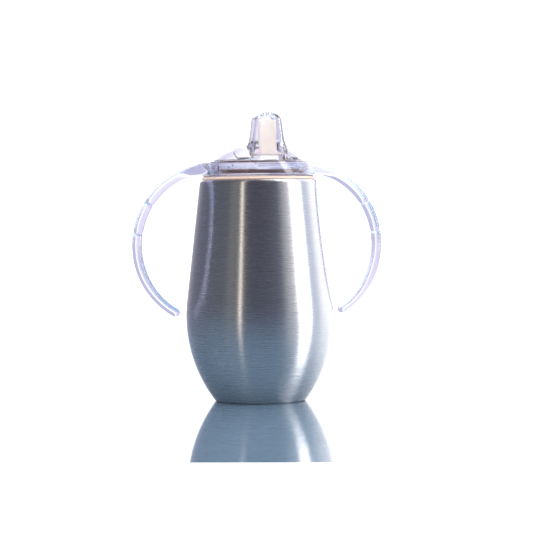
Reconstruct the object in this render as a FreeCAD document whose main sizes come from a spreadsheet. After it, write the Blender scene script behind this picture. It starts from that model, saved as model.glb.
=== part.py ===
# Vacuum-walled steel sippy cup with a clear spouted lid and a two-handled lock ring.
# Millimetres, +Z up, origin at the middle of the foot on the surface it stands on.
# The handles lie along X and the spout leans to the front, which is -Y.
import FreeCAD, Part
import Sketcher
import math
import os
import sys

from FreeCAD import Vector

DRIVING = {
    # steel tumbler
    "bodyHeight": 115.0,        # foot to rim
    "bellyRadius": 38.5,        # widest outside radius
    "bellyHeight": 44.2,        # height of the widest level
    "bellyArc": 72.6,           # radius of the arc that makes the belly
    "rimWidth": 2.8,            # inner wall to the outside cone, at the rim
    "rimRound": 2.2,            # outside rounding of the rim
    "footRound": 1.5,           # outside rounding at the foot
    "footLand": 2.4,            # width of the ring that the cup stands on
    "steelWall": 0.6,           # sheet thickness of every steel piece
    "vacuumGap": 2.6,           # space between the two walls at the belly
    "mouthRadius": 27.2,        # inside radius of the mouth
    "sealLand": 13.0,           # straight depth of the mouth
    "floorRound": 8.0,          # outside rounding of the inner wall's floor
    # closed bottom
    "plateGap": 0.2,            # weld gap round the bottom plate
    "dishDepth": 1.4,           # how far the plate is dished up
    "dimpleRadius": 4.0,        # recess of the vacuum port
    "dimpleDepth": 1.2,
    "portRadius": 0.8,
    "beadRadius": 2.0,          # solder bead over the port
    "beadDepth": 0.8,
    "coverGap": 0.15,           # press gap round the base cover
    "getterRadius": 3.5,
    "getterHeight": 1.6,
    "getterOffset": 11.0,       # from the axis
    "getterRoom": 2.3,          # from the getter to the inner wall
    # silicone seal
    "sealFlange": 1.2,          # thickness of the edge between rim and lid
    "sealInset": 1.2,           # that edge inside the rim's outside
    "sealSleeve": 2.08,         # thickness of the sleeve on the plug
    "sealGap": 0.12,            # ribs to the mouth
    "ribDepth": 0.6,
    "ribHeight": 1.4,
    "ribCount": 2,
    "ribPitch": 3.6,
    # clear lid
    "lidWall": 2.0,
    "plugDepth": 12.0,          # how deep the lid reaches below the rim
    "hookHeight": 1.0,          # edge that holds the seal on the plug
    "hookReach": 1.2,
    "flangeInset": 1.6,         # lid edge inside the rim's outside
    "flangeHeight": 0.8,
    "domeLedge": 1.3,           # flat round the foot of the dome
    "domeStep": 0.6,
    "domeArc": 33.3,
    "domeWall": 1.8,
    "deckWidth": 33.0,          # raised panel that carries the spout
    "deckDepth": 17.5,
    "deckRise": 0.7,
    "deckRound": 4.0,
    "spoutForward": 15.0,       # from the axis
    "spoutTop": 34.2,           # crown over the rim
    "spoutSink": 2.5,           # root of the spout below the neck's top
    "spoutRootWidth": 19.8,
    "spoutRootDepth": 14.8,
    "spoutTipWidth": 13.6,
    "spoutTipDepth": 10.6,
    "spoutCorner": 4.2,
    "spoutWall": 1.5,
    "crownArc": 9.4,            # arc of the spout's top, seen from the front
    "drinkHoleRadius": 0.7,
    "drinkHoleStep": 18.5,      # degrees along the crown
    "ventRadius": 0.6,
    # silicone spout valve
    "valveClear": 0.4,          # column to the inside of the spout's tip
    "valveCorner": 2.8,
    "valveWall": 1.0,
    "valveHeadroom": 0.7,       # column to the inside of the crown
    "valveFlange": 1.2,
    "valveGap": 0.25,           # flange to the spout's inside
    "valveSeat": 5.2,           # root of the spout to the flange
    "slitWidth": 0.3,
    "slitLength": 5.0,
    # bayonet and lock ring
    "lugSpan": 37.0,            # degrees
    "lugGap": 0.3,              # lug to the inside of the ring's wall
    "lugHeight": 2.2,
    "notchPlay": 3.0,           # degrees that a notch is wider than its lug
    "ringGap": 0.15,            # every sliding face of the ring
    "ringBoreGap": 0.3,
    "ringInset": 0.4,           # ring's foot inside the rim's outside
    "ringTopWidth": 1.5,        # from the bore to the ring's outside, at the top
    "ringHeight": 7.2,
    "ringWall": 1.6,
    "shelfHeight": 2.1,
    "ringLip": 1.5,
    # handles
    "handleArc": 39.7,          # radius of the bar's middle line
    "handleTipGap": 4.6,        # belly to the handle's end
    "handleEnd": 60.0,          # degrees below level, at the end
    "rootRise": 3.8,            # bar's middle line over the ring's foot
    "barThickness": 5.2,        # across the arc
    "barDepth": 7.6,            # along Y
    "rootThickness": 6.5,
    "rootDepth": 12.0,
    "rootFade": 26.0,           # degrees over which the root narrows
    "tipFade": 45.0,            # degrees over which the bar thins to its end
    "tipRadius": 2.3,           # round end of the bar
}

LUG_COUNT = 4
DRINK_HOLES = (-2, -1, 0, 1, 2)
SECTION_STEP = 8.0  # degrees between the sections of a handle
CLOCKWISE = -1
COUNTER_CLOCKWISE = 1

doc = FreeCAD.newDocument("sippy_cup")
sheet = doc.addObject("Spreadsheet::Sheet", "dims")
for row, (alias, number) in enumerate(DRIVING.items(), start=1):
    sheet.set(f"A{row}", str(number))
    sheet.setAlias(f"A{row}", alias)
doc.recompute()

levels = doc.addObject("App::VarSet", "levels")


def derive(name, expression):
    """Add a value that follows from the driving dimensions."""
    levels.addProperty("App::PropertyFloat", name, "Derived")
    levels.setExpression(name, expression)
    levels.recompute()


def size(name):
    """Number of a driving dimension."""
    return float(sheet.get(name))


# ---------------------------------------------------------------- derived places

derive("arcCentre", "dims.bellyRadius - dims.bellyArc")
derive("mouthOutside", "dims.mouthRadius + dims.steelWall")
derive("rimRadius", "levels.mouthOutside + dims.rimWidth")
derive("linerArc", "dims.bellyArc - dims.steelWall - dims.vacuumGap")
derive("landFoot", "dims.bodyHeight - dims.sealLand")


def derive_slope(name, radius, height, arc):
    """Angle from upright of the line that leaves (radius, height) and touches the belly arc."""
    across = f"({radius} - levels.arcCentre)"
    up = f"({height} - dims.bellyHeight)"
    derive(name, f"atan2({up}; {across}) - acos({arc} / hypot({across}; {up}))")


derive_slope("shellSlope", "levels.rimRadius", "dims.bodyHeight", "dims.bellyArc")
derive_slope("linerSlope", "levels.mouthOutside", "levels.landFoot", "levels.linerArc")

derive("rimRoundCentre", "levels.rimRadius + dims.rimRound * tan(levels.shellSlope)"
                         " - dims.rimRound / cos(levels.shellSlope)")
derive("dishUnder", "dims.steelWall + dims.dishDepth")
derive("dimpleUnder", "levels.dishUnder + dims.dimpleDepth")
derive("dishTop", "levels.dishUnder + dims.steelWall")
derive("linerFloor", "levels.dishTop + dims.getterHeight + dims.getterRoom")


def derive_foot(name, arc, rounding, floor):
    """Radius at which the rounding between the belly arc and a flat floor meets the floor."""
    derive(name, f"levels.arcCentre + sqrt(({arc} - {rounding})^2"
                 f" - (dims.bellyHeight - {floor} - {rounding})^2)")


derive_foot("shellFoot", "dims.bellyArc", "dims.footRound", "0")
derive_foot("linerFoot", "levels.linerArc", "dims.floorRound", "levels.linerFloor")
derive("footInside", "levels.shellFoot - dims.footLand")
derive("dishRadius", "levels.footInside - dims.steelWall")

derive("sealTop", "dims.bodyHeight + dims.sealFlange")
derive("flangeTop", "levels.sealTop + dims.flangeHeight")
derive("ringFoot", "levels.flangeTop + dims.ringGap")
derive("shelfTop", "levels.ringFoot + dims.shelfHeight")
derive("ringTop", "levels.ringFoot + dims.ringHeight")
derive("bossTop", "levels.ringTop + dims.ringGap")
derive("lugFoot", "levels.shelfTop + dims.ringGap")
derive("lugTop", "levels.lugFoot + dims.lugHeight")
derive("ribRadius", "dims.mouthRadius - dims.sealGap")
derive("sleeveRadius", "levels.ribRadius - dims.ribDepth")
derive("bossRadius", "levels.sleeveRadius - dims.sealSleeve")
derive("ringBore", "levels.bossRadius + dims.ringBoreGap")
derive("ringTopRadius", "levels.ringBore + dims.ringTopWidth")
derive("ringFootRadius", "levels.rimRadius - dims.ringInset")
derive("coneRun", "(levels.ringFootRadius - levels.ringTopRadius) / dims.ringHeight")


def ring_inside_at(height):
    """Inside radius of the lock ring's sloping wall at a height, as an expression."""
    return f"levels.ringFootRadius - levels.coneRun * ({height} - levels.ringFoot) - dims.ringWall"


derive("lugRadius", ring_inside_at("levels.lugTop") + " - dims.lugGap")
derive("plugFoot", "dims.bodyHeight - dims.plugDepth")
derive("plugInside", "levels.bossRadius - dims.lidWall")
derive("domeRadius", "levels.bossRadius - dims.domeLedge")
derive("domeFoot", "levels.bossTop + dims.domeStep")
derive("domeCentre", "levels.domeFoot - sqrt(dims.domeArc^2 - levels.domeRadius^2)")
derive("hollowArc", "dims.domeArc - dims.domeWall")
derive("hollowShoulder", "levels.domeCentre + sqrt(levels.hollowArc^2 - levels.plugInside^2)")
derive("spoutRoot", "levels.bossTop - dims.spoutSink")
derive("spoutCrown", "dims.bodyHeight + dims.spoutTop")
derive("spoutLength", "levels.spoutCrown - levels.spoutRoot")
derive("crownCentre", "levels.spoutCrown - dims.crownArc")
derive("valveFoot", "levels.spoutRoot + dims.valveSeat")
derive("valveFlangeTop", "levels.valveFoot + dims.valveFlange")
derive("valveWidth", "dims.spoutTipWidth - 2 * dims.spoutWall - 2 * dims.valveClear")
derive("valveDepth", "dims.spoutTipDepth - 2 * dims.spoutWall - 2 * dims.valveClear")
derive("valveTop", "levels.crownCentre + sqrt((dims.crownArc - dims.spoutWall)^2"
                   " - (levels.valveWidth / 2)^2) - dims.valveHeadroom")
derive("valveRise", "levels.valveTop - levels.valveFlangeTop")


def spout_inside(root, tip, height):
    """Width or depth of the spout's inside at a height, as an expression."""
    share = f"(({height} - levels.spoutRoot) / levels.spoutLength)"
    return f"(({root}) + (({tip}) - ({root})) * {share} - 2 * dims.spoutWall)"


derive("flangeWidth", spout_inside("dims.spoutRootWidth", "dims.spoutTipWidth", "levels.valveFlangeTop")
       + " - 2 * dims.valveGap")
derive("flangeDepth", spout_inside("dims.spoutRootDepth", "dims.spoutTipDepth", "levels.valveFlangeTop")
       + " - 2 * dims.valveGap")

derive("handleCentre", "dims.bellyRadius + dims.handleTipGap + dims.tipRadius"
                       " - dims.handleArc * cos(dims.handleEnd)")
derive("rootReach", "levels.ringTopRadius - dims.ringWall / 2")
derive("handleStart", "acos((levels.rootReach - levels.handleCentre) / dims.handleArc)")
derive("handleHeight", "levels.ringFoot + dims.rootRise - dims.handleArc * sin(levels.handleStart)")


# ---------------------------------------------------------------- drawing helpers

def middle_of_arc(start, end, radius, turn):
    """Point half way along the short arc from start to end, turning the given way."""
    chord = end - start
    half = chord.Length / 2
    rise = radius - math.sqrt(max(radius * radius - half * half, 0.0))
    outward = Vector(chord.y, -chord.x, 0).normalize() * turn
    return (start + end) * 0.5 + outward * rise


def draw_outline(sketch, corners):
    """Draw a closed outline. A corner is (across, up), with the radius and the turn of the
    side that leaves it where that side is an arc. Every number is an expression."""
    points = []
    for corner in corners:
        across = sketch.evalExpression(corner[0])
        up = sketch.evalExpression(corner[1])
        points.append(Vector(float(across), float(up), 0))
    ends = []
    for index, corner in enumerate(corners):
        start = points[index]
        end = points[(index + 1) % len(points)]
        if len(corner) == 2:
            side = sketch.addGeometry(Part.LineSegment(start, end), False)
        else:
            radius = float(sketch.evalExpression(corner[2]))
            middle = middle_of_arc(start, end, radius, corner[3])
            side = sketch.addGeometry(Part.Arc(start, middle, end), False)
            bind(sketch, Sketcher.Constraint("Radius", side, radius), corner[2])
        first = 1 if sketch.getPoint(side, 1).distanceToPoint(start) < 1e-6 else 2
        ends.append((side, first, 3 - first))
    for index, (side, first, last) in enumerate(ends):
        previous_side, _, previous_last = ends[index - 1]
        sketch.addConstraint(Sketcher.Constraint("Coincident", previous_side, previous_last, side, first))
        across, up = corners[index][0], corners[index][1]
        if across == "0":
            sketch.addConstraint(Sketcher.Constraint("PointOnObject", side, first, -2))
        else:
            bind(sketch, Sketcher.Constraint("DistanceX", -1, 1, side, first, points[index].x), across)
        if up == "0":
            sketch.addConstraint(Sketcher.Constraint("PointOnObject", side, first, -1))
        else:
            bind(sketch, Sketcher.Constraint("DistanceY", -1, 1, side, first, points[index].y), up)


def bind(sketch, constraint, expression):
    """Add a constraint and tie its number to an expression."""
    number = sketch.addConstraint(constraint)
    sketch.setExpression(f"Constraints[{number}]", expression)


def plane_of(body, role):
    """One of a body's own origin planes."""
    return next(item for item in body.Origin.OriginFeatures if item.Role == role)


def new_sketch(body, name, role, corners, lift=None):
    """Sketch an outline on one of a body's own planes, lifted along the plane's normal."""
    sketch = body.newObject("Sketcher::SketchObject", name)
    sketch.AttachmentSupport = [(plane_of(body, role), "")]
    sketch.MapMode = "FlatFace"
    if lift:
        sketch.setExpression("AttachmentOffset.Base.z", lift)
    doc.recompute()
    draw_outline(sketch, corners)
    doc.recompute()
    return sketch


def spun_body(name, corners):
    """Body of revolution about Z from an outline of (radius, height) corners."""
    body = doc.addObject("PartDesign::Body", name)
    sketch = new_sketch(body, name + "_outline", "XZ_Plane", corners)
    spin = body.newObject("PartDesign::Revolution", name + "_spin")
    spin.Profile = sketch
    spin.ReferenceAxis = (sketch, ["V_Axis"])
    spin.Angle = 360
    doc.recompute()
    return body


def rounded_rectangle(width, depth, corner, centre="0"):
    """Corners of a rounded rectangle about (0, centre)."""
    right = f"({width}) / 2"
    left = f"-({width}) / 2"
    front = f"{centre} - ({depth}) / 2"
    back = f"{centre} + ({depth}) / 2"
    turn = COUNTER_CLOCKWISE
    return [
        (f"{left} + {corner}", front), (f"{right} - {corner}", front, corner, turn),
        (right, f"{front} + {corner}"), (right, f"{back} - {corner}", corner, turn),
        (f"{right} - {corner}", back), (f"{left} + {corner}", back, corner, turn),
        (left, f"{back} - {corner}"), (left, f"{front} + {corner}", corner, turn),
    ]


def add_pad(body, name, corners, lift, length, role="XY_Plane", midplane=False):
    """Pad an outline that lies on one of the body's planes, lifted by an expression."""
    pad = body.newObject("PartDesign::Pad", name)
    pad.Profile = new_sketch(body, name + "_outline", role, corners, lift)
    pad.setExpression("Length", length)
    pad.Midplane = midplane
    doc.recompute()
    return pad


def cut_pocket(body, name, corners, lift, length):
    """Cut a pocket upwards from a lifted outline, and check that it takes material away."""
    before = body.Shape.Volume
    pocket = body.newObject("PartDesign::Pocket", name)
    pocket.Profile = new_sketch(body, name + "_outline", "XY_Plane", corners, lift)
    pocket.setExpression("Length", length)
    pocket.Reversed = True
    doc.recompute()
    if body.Shape.Volume > before - 1e-3:
        sys.exit(f"{name} cuts nothing")
    return pocket


def add_sector(name, radius, height, foot, span, heading):
    """Upright wedge about the axis, centred on a heading that is given in degrees."""
    wedge = doc.addObject("Part::Cylinder", name)
    wedge.setExpression("Radius", radius)
    wedge.setExpression("Height", height)
    wedge.setExpression("Angle", span)
    wedge.setExpression("Placement.Base.z", foot)
    wedge.setExpression("Placement.Rotation.Angle", f"{heading} - ({span}) / 2")
    return wedge


def add_round_bar(name, radius, height, foot):
    """Plain upright cylinder on the axis."""
    bar = doc.addObject("Part::Cylinder", name)
    bar.setExpression("Radius", radius)
    bar.setExpression("Height", height)
    bar.setExpression("Placement.Base.z", foot)
    return bar


def fuse(name, shapes):
    """Part fusion of several objects."""
    union = doc.addObject("Part::MultiFuse", name)
    union.Shapes = shapes
    doc.recompute()
    return union


def combine(kind, name, base, tool):
    """Part::Cut or Part::Common of two objects."""
    result = doc.addObject(kind, name)
    result.Base = base
    result.Tool = tool
    doc.recompute()
    return result


# ---------------------------------------------------------------- steel tumbler

def wall_corner(arc, rounding, foot, floor):
    """Place where the belly arc meets the rounding that leads to a floor."""
    share = f"(({arc}) / (({arc}) - ({rounding})))"
    across = f"levels.arcCentre + ({foot} - levels.arcCentre) * {share}"
    up = f"dims.bellyHeight - (dims.bellyHeight - {floor} - ({rounding})) * {share}"
    return across, up


def tangent_place(arc, slope):
    """Place where the straight wall leaves the belly arc."""
    return f"levels.arcCentre + ({arc}) * cos({slope})", f"dims.bellyHeight + ({arc}) * sin({slope})"


def make_outer_shell():
    slope = "levels.shellSlope"
    wall = "dims.steelWall"
    inner_arc = f"dims.bellyArc - {wall}"
    inner_round = f"dims.footRound - {wall}"
    inner_rim = f"dims.rimRound - {wall}"
    round_height = "dims.bodyHeight - dims.rimRound"
    corners = [
        ("levels.mouthOutside", "dims.bodyHeight"),
        ("levels.rimRoundCentre", "dims.bodyHeight", "dims.rimRound", CLOCKWISE),
        (f"levels.rimRoundCentre + dims.rimRound * cos({slope})",
         f"{round_height} + dims.rimRound * sin({slope})"),
        (*tangent_place("dims.bellyArc", slope), "dims.bellyArc", CLOCKWISE),
        (*wall_corner("dims.bellyArc", "dims.footRound", "levels.shellFoot", "0"),
         "dims.footRound", CLOCKWISE),
        ("levels.shellFoot", "0"),
        ("levels.footInside", "0"),
        ("levels.footInside", wall),
        ("levels.shellFoot", wall, inner_round, COUNTER_CLOCKWISE),
        (*wall_corner(inner_arc, inner_round, "levels.shellFoot", wall),
         inner_arc, COUNTER_CLOCKWISE),
        tangent_place(inner_arc, slope),
        (f"levels.rimRoundCentre + ({inner_rim}) * cos({slope})",
         f"{round_height} + ({inner_rim}) * sin({slope})", inner_rim, COUNTER_CLOCKWISE),
        ("levels.rimRoundCentre", f"dims.bodyHeight - {wall}"),
        ("levels.mouthOutside", f"dims.bodyHeight - {wall}"),
    ]
    return spun_body("outer_shell", corners)


def make_inner_liner():
    slope = "levels.linerSlope"
    wall = "dims.steelWall"
    inner_arc = f"levels.linerArc - {wall}"
    inner_round = f"dims.floorRound - {wall}"
    corners = [
        ("dims.mouthRadius", "dims.bodyHeight"),
        ("levels.mouthOutside", "dims.bodyHeight"),
        ("levels.mouthOutside", "levels.landFoot"),
        (*tangent_place("levels.linerArc", slope), "levels.linerArc", CLOCKWISE),
        (*wall_corner("levels.linerArc", "dims.floorRound", "levels.linerFoot", "levels.linerFloor"),
         "dims.floorRound", CLOCKWISE),
        ("levels.linerFoot", "levels.linerFloor"),
        ("0", "levels.linerFloor"),
        ("0", f"levels.linerFloor + {wall}"),
        ("levels.linerFoot", f"levels.linerFloor + {wall}", inner_round, COUNTER_CLOCKWISE),
        (*wall_corner(inner_arc, inner_round, "levels.linerFoot", f"(levels.linerFloor + {wall})"),
         inner_arc, COUNTER_CLOCKWISE),
        tangent_place(inner_arc, slope),
        ("dims.mouthRadius", f"levels.landFoot - {wall} * tan({slope} / 2)"),
    ]
    return spun_body("inner_liner", corners)


def make_bottom_plate():
    wall = "dims.steelWall"
    edge = "levels.shellFoot - dims.plateGap"
    corners = [
        ("dims.portRadius", "levels.dimpleUnder"),
        ("dims.dimpleRadius", "levels.dimpleUnder"),
        ("dims.dimpleRadius", "levels.dishUnder"),
        ("levels.dishRadius", "levels.dishUnder"),
        ("levels.dishRadius", wall),
        (edge, wall),
        (edge, f"2 * {wall}"),
        (f"levels.dishRadius + {wall}", f"2 * {wall}"),
        (f"levels.dishRadius + {wall}", "levels.dishTop"),
        (f"dims.dimpleRadius + {wall}", "levels.dishTop"),
        (f"dims.dimpleRadius + {wall}", f"levels.dimpleUnder + {wall}"),
        ("dims.portRadius", f"levels.dimpleUnder + {wall}"),
    ]
    return spun_body("bottom_plate", corners)


def make_vacuum_seal_bead():
    drop = "(dims.beadRadius^2 + dims.beadDepth^2) / (2 * dims.beadDepth)"
    corners = [
        ("0", "levels.dimpleUnder - dims.beadDepth", drop, COUNTER_CLOCKWISE),
        ("dims.beadRadius", "levels.dimpleUnder"),
        ("dims.portRadius", "levels.dimpleUnder"),
        ("dims.portRadius", "levels.dimpleUnder + dims.steelWall"),
        ("0", "levels.dimpleUnder + dims.steelWall"),
    ]
    return spun_body("vacuum_seal_bead", corners)


def make_base_cover():
    return add_round_bar("base_cover", "levels.dishRadius - dims.coverGap", "dims.steelWall",
                         "levels.dishUnder - dims.steelWall")


def make_getter_capsule():
    capsule = add_round_bar("getter_capsule", "dims.getterRadius", "dims.getterHeight", "levels.dishTop")
    capsule.setExpression("Placement.Base.x", "dims.getterOffset")
    return capsule


# ---------------------------------------------------------------- silicone seal and clear lid

def make_lid_gasket():
    sleeve = "levels.sleeveRadius"
    edge = "levels.rimRadius - dims.sealInset"
    corners = [
        ("levels.bossRadius", "levels.sealTop"),
        ("levels.bossRadius", "levels.plugFoot + dims.hookHeight"),
        (sleeve, "levels.plugFoot + dims.hookHeight"),
    ]
    for index in range(int(size("ribCount"))):
        foot = f"levels.plugFoot + dims.hookHeight + dims.ribPitch * {index + 0.5}"
        corners += [
            (sleeve, foot),
            ("levels.ribRadius", f"{foot} + dims.ribHeight / 2"),
            (sleeve, f"{foot} + dims.ribHeight"),
        ]
    corners += [
        (sleeve, "dims.bodyHeight"),
        (edge, "dims.bodyHeight"),
        (edge, "levels.sealTop"),
    ]
    return spun_body("lid_gasket", corners)


def make_lid_outside():
    hook = "levels.bossRadius + dims.hookReach"
    edge = "levels.rimRadius - dims.flangeInset"
    corners = [
        ("0", "levels.domeCentre + dims.domeArc", "dims.domeArc", CLOCKWISE),
        ("levels.domeRadius", "levels.domeFoot"),
        ("levels.domeRadius", "levels.bossTop"),
        ("levels.bossRadius", "levels.bossTop"),
        ("levels.bossRadius", "levels.flangeTop"),
        (edge, "levels.flangeTop"),
        (edge, "levels.sealTop"),
        ("levels.bossRadius", "levels.sealTop"),
        ("levels.bossRadius", "levels.plugFoot + dims.hookHeight"),
        (hook, "levels.plugFoot + dims.hookHeight"),
        (hook, "levels.plugFoot"),
        ("0", "levels.plugFoot"),
    ]
    return spun_body("lid_outside", corners)


def make_lid_hollow():
    corners = [
        ("0", "levels.domeCentre + levels.hollowArc", "levels.hollowArc", CLOCKWISE),
        ("levels.plugInside", "levels.hollowShoulder"),
        ("levels.plugInside", "levels.plugFoot - dims.lidWall"),
        ("0", "levels.plugFoot - dims.lidWall"),
    ]
    return spun_body("lid_hollow", corners)


def make_deck():
    """Raised panel round the spout: a thicker dome, cut to a rounded rectangle."""
    cap = spun_body("deck_cap", [
        ("0", "levels.domeCentre + dims.domeArc + dims.deckRise", "dims.domeArc + dims.deckRise", CLOCKWISE),
        ("levels.domeRadius",
         "levels.domeCentre + sqrt((dims.domeArc + dims.deckRise)^2 - levels.domeRadius^2)"),
        ("levels.domeRadius", "levels.bossTop"),
        ("0", "levels.bossTop"),
    ])
    panel = doc.addObject("PartDesign::Body", "deck_panel")
    add_pad(panel, "deck_prism",
            rounded_rectangle("dims.deckWidth", "dims.deckDepth", "dims.deckRound", "-dims.spoutForward"),
            "levels.bossTop", "dims.domeArc")
    return combine("Part::Common", "deck", cap, panel)


def spout_loft(name, wall):
    """Tapered rounded column of the spout, drawn in by a wall on each side."""
    body = doc.addObject("PartDesign::Body", name)
    corner = f"(dims.spoutCorner - {wall} / 2)"
    sketches = []
    for end, lift in (("Root", "levels.spoutRoot"), ("Tip", "levels.spoutCrown")):
        outline = rounded_rectangle(f"dims.spout{end}Width - 2 * {wall}", f"dims.spout{end}Depth - 2 * {wall}",
                                    corner, "-dims.spoutForward")
        sketches.append(new_sketch(body, f"{name}_{end}", "XY_Plane", outline, lift))
    loft = body.newObject("PartDesign::AdditiveLoft", name + "_loft")
    loft.Profile = sketches[0]
    loft.Sections = [sketches[1]]
    doc.recompute()
    return body


def crown_block(name, wall):
    """Block whose top is the arched crown of the spout, lowered by a wall."""
    body = doc.addObject("PartDesign::Body", name)
    radius = f"(dims.crownArc - {wall})"
    half = f"0.96 * {radius}"
    shoulder = f"levels.crownCentre + sqrt({radius}^2 - ({half})^2)"
    side = "dims.spoutRootWidth"
    corners = [
        (f"-{side}", "levels.plugFoot"), (side, "levels.plugFoot"), (side, shoulder),
        (half, shoulder, radius, COUNTER_CLOCKWISE),
        ("0", f"levels.crownCentre + {radius}", radius, COUNTER_CLOCKWISE),
        (f"-{half}", shoulder), (f"-{side}", shoulder),
    ]
    add_pad(body, name + "_prism", corners, None, "4 * levels.bossRadius", "XZ_Plane", True)
    return body


def spout_solid(name, wall):
    return combine("Part::Common", name, spout_loft(name + "_column", wall), crown_block(name + "_crown", wall))


def make_drink_hole(index):
    """Small hole that points out of the crown's arc."""
    drill = doc.addObject("Part::Cylinder", f"drink_hole_{index + 3}")
    lean = f"{index} * dims.drinkHoleStep"
    start = "(dims.crownArc - 2 * dims.spoutWall)"
    drill.setExpression("Radius", "dims.drinkHoleRadius")
    drill.setExpression("Height", "4 * dims.spoutWall")
    drill.setExpression("Placement.Base.x", f"{start} * sin({lean})")
    drill.setExpression("Placement.Base.y", "-dims.spoutForward")
    drill.setExpression("Placement.Base.z", f"levels.crownCentre + {start} * cos({lean})")
    drill.Placement.Rotation.Axis = Vector(0, 1, 0)
    drill.setExpression("Placement.Rotation.Angle", lean)
    return drill


def make_vent_hole():
    """Air vent in the dome, behind the spout."""
    vent = doc.addObject("Part::Cylinder", "vent_hole")
    vent.setExpression("Radius", "dims.ventRadius")
    vent.setExpression("Height", "dims.domeArc")
    vent.setExpression("Placement.Base.y", "levels.domeRadius / 2")
    vent.setExpression("Placement.Base.z", "levels.bossTop")
    return vent


def make_lug(index):
    turn = 360 / LUG_COUNT * index
    wedge = add_sector(f"lug_{index + 1}", "levels.lugRadius", "dims.lugHeight", "levels.lugFoot",
                       "dims.lugSpan", f"{turn} - 90")
    return wedge


def make_lid_body():
    solid = [make_lid_outside(), make_deck(), spout_solid("spout_outside", "0")]
    solid += [make_lug(index) for index in range(LUG_COUNT)]
    hollow = [make_lid_hollow(), spout_solid("spout_inside", "dims.spoutWall"), make_vent_hole()]
    hollow += [make_drink_hole(index) for index in DRINK_HOLES]
    lid = combine("Part::Cut", "lid_body", fuse("lid_solid", solid), fuse("lid_space", hollow))
    return lid


def make_spout_valve():
    body = doc.addObject("PartDesign::Body", "spout_valve")
    add_pad(body, "valve_flange",
            rounded_rectangle("levels.flangeWidth", "levels.flangeDepth", "dims.valveCorner", "-dims.spoutForward"),
            "levels.valveFoot", "dims.valveFlange")
    add_pad(body, "valve_column",
            rounded_rectangle("levels.valveWidth", "levels.valveDepth", "dims.valveCorner", "-dims.spoutForward"),
            "levels.valveFlangeTop", "levels.valveRise")
    cut_pocket(body, "valve_bore",
               rounded_rectangle("levels.valveWidth - 2 * dims.valveWall", "levels.valveDepth - 2 * dims.valveWall",
                                 "(dims.valveCorner - dims.valveWall)", "-dims.spoutForward"),
               "levels.valveFoot", "dims.valveFlange + levels.valveRise - dims.valveWall")
    half_length = "dims.slitLength / 2"
    front = "-dims.spoutForward - dims.slitWidth / 2"
    back = "-dims.spoutForward + dims.slitWidth / 2"
    cut_pocket(body, "valve_slit",
               [(f"-{half_length}", front), (half_length, front), (half_length, back), (f"-{half_length}", back)],
               "levels.valveTop - 2 * dims.valveWall", "3 * dims.valveWall")
    return body


# ---------------------------------------------------------------- lock ring with handles

def fade(share):
    """Smooth step from 0 to 1."""
    share = min(max(share, 0.0), 1.0)
    return share * share * (3 - 2 * share)


def bar_section(angle, side):
    """Elliptical section of a handle at an angle above level."""
    root = fade((angle - levels.handleStart + size("rootFade")) / size("rootFade"))
    tip = fade((size("tipFade") - size("handleEnd") - angle) / size("tipFade"))
    end_width = 2 * size("tipRadius")
    thickness = size("barThickness") + (size("rootThickness") - size("barThickness")) * root
    thickness += (end_width - size("barThickness")) * tip
    depth = size("barDepth") + (size("rootDepth") - size("barDepth")) * root
    depth += (end_width - size("barDepth")) * tip
    out = Vector(side * math.cos(math.radians(angle)), 0, math.sin(math.radians(angle)))
    middle = Vector(side * levels.handleCentre, 0, levels.handleHeight) + out * size("handleArc")
    if depth - thickness < 1e-3:
        return Part.Wire(Part.makeCircle(thickness / 2, middle, out.cross(Vector(0, 1, 0))))
    ellipse = Part.Ellipse(middle + Vector(0, depth / 2, 0), middle + out * (thickness / 2), middle)
    return Part.Wire(ellipse.toShape())


def make_handle_bar(name, side):
    """Curved bar with a round end, lofted through sections along its arc."""
    start = levels.handleStart
    sweep = start + size("handleEnd")
    count = round(sweep / SECTION_STEP)
    bar = doc.addObject("Part::Feature", name)
    bar.Shape = Part.makeLoft([bar_section(start - sweep * index / count, side) for index in range(count + 1)],
                              True, False)
    tip = doc.addObject("Part::Sphere", name + "_tip")
    tip.setExpression("Radius", "dims.tipRadius")
    tip.setExpression("Placement.Base.x",
                      f"{side} * (levels.handleCentre + dims.handleArc * cos(dims.handleEnd))")
    tip.setExpression("Placement.Base.z", "levels.handleHeight - dims.handleArc * sin(dims.handleEnd)")
    return [bar, tip]


def make_ring_outside():
    corners = [
        ("0", "levels.ringFoot"), ("levels.ringFootRadius", "levels.ringFoot"),
        ("levels.ringTopRadius", "levels.ringTop"), ("0", "levels.ringTop"),
    ]
    return spun_body("ring_outside", corners)


def make_ring_inside():
    """Bore of the ring with the channel that the lugs turn in."""
    shelf = "levels.shelfTop"
    lip = "(levels.ringTop - dims.ringLip)"
    corners = [
        ("0", "levels.flangeTop"), ("levels.ringBore", "levels.flangeTop"),
        ("levels.ringBore", shelf), (ring_inside_at(shelf), shelf), (ring_inside_at(lip), lip),
        ("levels.ringBore", lip), ("levels.ringBore", "levels.bossTop"), ("0", "levels.bossTop"),
    ]
    return spun_body("ring_inside", corners)


def make_notch(index):
    """Gap in the shelf that lets a lug through, half a pitch away from it."""
    turn = 360 / LUG_COUNT * (index + 0.5)
    return add_sector(f"notch_{index + 1}", "levels.lugRadius + dims.ringBoreGap",
                      "dims.shelfHeight + 2 * dims.ringGap", "levels.ringFoot - dims.ringGap",
                      "dims.lugSpan + dims.notchPlay", f"{turn} - 90")


def make_handle_ring():
    solid = [make_ring_outside()]
    for name, side in (("left_bar", -1), ("right_bar", 1)):
        solid += make_handle_bar(name, side)
    under = add_round_bar("ring_under", "levels.rimRadius + dims.ringGap",
                          "levels.ringFoot - dims.bodyHeight", "dims.bodyHeight")
    space = [make_ring_inside(), under] + [make_notch(index) for index in range(LUG_COUNT)]
    return combine("Part::Cut", "handle_ring", fuse("ring_solid", solid), fuse("ring_space", space))


# ---------------------------------------------------------------- build, check and write

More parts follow.
